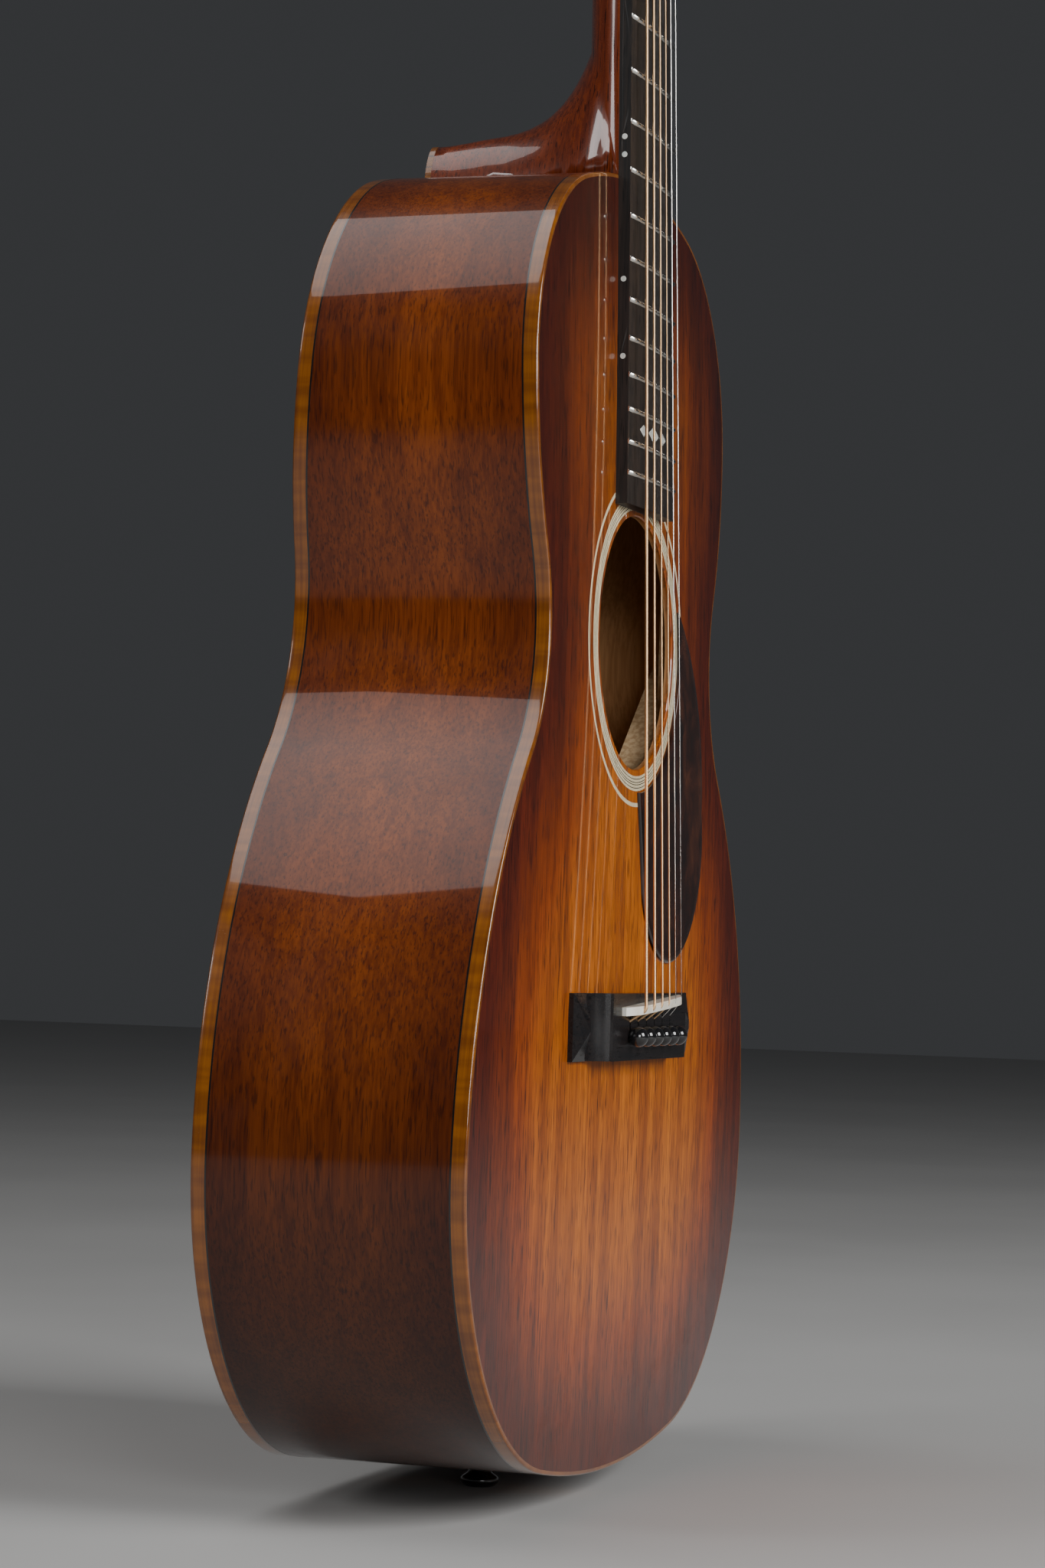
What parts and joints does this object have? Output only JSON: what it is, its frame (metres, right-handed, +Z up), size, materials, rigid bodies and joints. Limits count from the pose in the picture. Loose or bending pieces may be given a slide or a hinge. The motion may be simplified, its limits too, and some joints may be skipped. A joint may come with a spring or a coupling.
{
  "type": "acoustic guitar",
  "caption": "Flat-top steel-string guitar with a slotted headstock, geared tuners, a pyramid-ended bridge and bridge pins.",
  "frame": {"origin": "centre of the soundhole, halfway through the soundboard", "axes": "+Z up along the neck, -Y out of the soundboard, +X towards the treble side"},
  "size_m": [0.364, 0.1244, 0.9761],
  "materials": {
    "mahogany_top": "gloss lacquer, shaded from amber at the centre to dark at the edges",
    "mahogany_body": "gloss lacquer, dark red-brown",
    "mahogany_neck": "gloss lacquer",
    "figured_binding": "gloss lacquer over curly maple",
    "spruce": "bare, sanded",
    "cedar_block": "bare, sanded",
    "maple_plate": "bare, sanded",
    "ebony": "oiled",
    "rosewood_veneer": "gloss lacquer",
    "tortoise_guard": "polished dark tortoise pattern",
    "rosette_lines": "cream and black lines under lacquer",
    "bone": "polished bone",
    "black_pin": "polished",
    "pearl": "polished",
    "nickel": "polished nickel silver",
    "steel": "bare steel",
    "tuner_brass": "aged brass",
    "button_ivory": "polished cream",
    "string_bronze": "wound bronze and plain steel"
  },
  "bodies": {
    "guitar": {"soundboard": "mahogany_top", "back": "mahogany_body", "side_bass": "mahogany_body", "side_treble": "mahogany_body", "neck_block": "cedar_block", "tail_block": "cedar_block", "linings": "cedar_block", "top_binding": "figured_binding", "back_binding": "figured_binding", "x_braces": "spruce", "top_braces": "spruce", "back_braces": "spruce", "bridge_plate": "maple_plate", "end_graft": "figured_binding", "end_pin": "black_pin", "heel_cap": "figured_binding", "rosette": "rosette_lines", "pickguard": "tortoise_guard", "bridge": "ebony", "saddle": "bone", "neck": "mahogany_neck", "fingerboard": "ebony", "frets": "nickel", "inlays": "pearl", "nut": "bone", "headstock_veneer": "rosewood_veneer", "truss_rod": "steel", "tuner_plates": "nickel", "tuner_screws": "nickel", "strings": "string_bronze"},
    "tuner_key_1": {"tuner_button_1": "button_ivory", "tuner_worm_1": "steel"},
    "tuner_post_1": {"tuner_roller_1": "nickel", "tuner_gear_1": "tuner_brass"},
    "string_pin_1": {"bridge_pin_1": "black_pin"},
    "tuner_key_2": {"tuner_button_2": "button_ivory", "tuner_worm_2": "steel"},
    "tuner_post_2": {"tuner_roller_2": "nickel", "tuner_gear_2": "tuner_brass"},
    "string_pin_2": {"bridge_pin_2": "black_pin"},
    "tuner_key_3": {"tuner_button_3": "button_ivory", "tuner_worm_3": "steel"},
    "tuner_post_3": {"tuner_roller_3": "nickel", "tuner_gear_3": "tuner_brass"},
    "string_pin_3": {"bridge_pin_3": "black_pin"},
    "tuner_key_4": {"tuner_button_4": "button_ivory", "tuner_worm_4": "steel"},
    "tuner_post_4": {"tuner_roller_4": "nickel", "tuner_gear_4": "tuner_brass"},
    "string_pin_4": {"bridge_pin_4": "black_pin"},
    "tuner_key_5": {"tuner_button_5": "button_ivory", "tuner_worm_5": "steel"},
    "tuner_post_5": {"tuner_roller_5": "nickel", "tuner_gear_5": "tuner_brass"},
    "string_pin_5": {"bridge_pin_5": "black_pin"},
    "tuner_key_6": {"tuner_button_6": "button_ivory", "tuner_worm_6": "steel"},
    "tuner_post_6": {"tuner_roller_6": "nickel", "tuner_gear_6": "tuner_brass"},
    "string_pin_6": {"bridge_pin_6": "black_pin"}
  },
  "joints": [
    {"name": "tuner_turn_1", "type": "hinge", "parent": "guitar", "child": "tuner_key_1", "pos_m": [0.0361, 0.02584, 0.52835], "axis": [0, 0.963, -0.2695], "continuous": true},
    {"name": "post_turn_1", "type": "hinge", "parent": "guitar", "child": "tuner_post_1", "pos_m": [0.0361, 0.02813, 0.53653], "axis": [1, 0, 0], "continuous": true},
    {"name": "pin_pull_1", "type": "slide", "parent": "guitar", "child": "string_pin_1", "axis": [0, -1, 0], "range_m": [0, 0.03]},
    {"name": "tuner_turn_2", "type": "hinge", "parent": "guitar", "child": "tuner_key_2", "pos_m": [0.0361, 0.03528, 0.56205], "axis": [0, 0.963, -0.2695], "continuous": true},
    {"name": "post_turn_2", "type": "hinge", "parent": "guitar", "child": "tuner_post_2", "pos_m": [0.0361, 0.03757, 0.57024], "axis": [1, 0, 0], "continuous": true},
    {"name": "pin_pull_2", "type": "slide", "parent": "guitar", "child": "string_pin_2", "axis": [0, -1, 0], "range_m": [0, 0.03]},
    {"name": "tuner_turn_3", "type": "hinge", "parent": "guitar", "child": "tuner_key_3", "pos_m": [0.0361, 0.04471, 0.59576], "axis": [0, 0.963, -0.2695], "continuous": true},
    {"name": "post_turn_3", "type": "hinge", "parent": "guitar", "child": "tuner_post_3", "pos_m": [0.0361, 0.047, 0.60394], "axis": [1, 0, 0], "continuous": true},
    {"name": "pin_pull_3", "type": "slide", "parent": "guitar", "child": "string_pin_3", "axis": [0, -1, 0], "range_m": [0, 0.03]},
    {"name": "tuner_turn_4", "type": "hinge", "parent": "guitar", "child": "tuner_key_4", "pos_m": [-0.0361, 0.04471, 0.59576], "axis": [0, 0.963, -0.2695], "continuous": true},
    {"name": "post_turn_4", "type": "hinge", "parent": "guitar", "child": "tuner_post_4", "pos_m": [-0.0361, 0.047, 0.60394], "axis": [1, 0, 0], "continuous": true},
    {"name": "pin_pull_4", "type": "slide", "parent": "guitar", "child": "string_pin_4", "axis": [0, -1, 0], "range_m": [0, 0.03]},
    {"name": "tuner_turn_5", "type": "hinge", "parent": "guitar", "child": "tuner_key_5", "pos_m": [-0.0361, 0.03528, 0.56205], "axis": [0, 0.963, -0.2695], "continuous": true},
    {"name": "post_turn_5", "type": "hinge", "parent": "guitar", "child": "tuner_post_5", "pos_m": [-0.0361, 0.03757, 0.57024], "axis": [1, 0, 0], "continuous": true},
    {"name": "pin_pull_5", "type": "slide", "parent": "guitar", "child": "string_pin_5", "axis": [0, -1, 0], "range_m": [0, 0.03]},
    {"name": "tuner_turn_6", "type": "hinge", "parent": "guitar", "child": "tuner_key_6", "pos_m": [-0.0361, 0.02584, 0.52835], "axis": [0, 0.963, -0.2695], "continuous": true},
    {"name": "post_turn_6", "type": "hinge", "parent": "guitar", "child": "tuner_post_6", "pos_m": [-0.0361, 0.02813, 0.53653], "axis": [1, 0, 0], "continuous": true},
    {"name": "pin_pull_6", "type": "slide", "parent": "guitar", "child": "string_pin_6", "axis": [0, -1, 0], "range_m": [0, 0.03]}
  ],
  "couplings": [
    {"joint": "post_turn_1", "follows": "tuner_turn_1", "ratio": -0.071429},
    {"joint": "post_turn_2", "follows": "tuner_turn_2", "ratio": -0.071429},
    {"joint": "post_turn_3", "follows": "tuner_turn_3", "ratio": -0.071429},
    {"joint": "post_turn_4", "follows": "tuner_turn_4", "ratio": -0.071429},
    {"joint": "post_turn_5", "follows": "tuner_turn_5", "ratio": -0.071429},
    {"joint": "post_turn_6", "follows": "tuner_turn_6", "ratio": -0.071429}
  ]
}
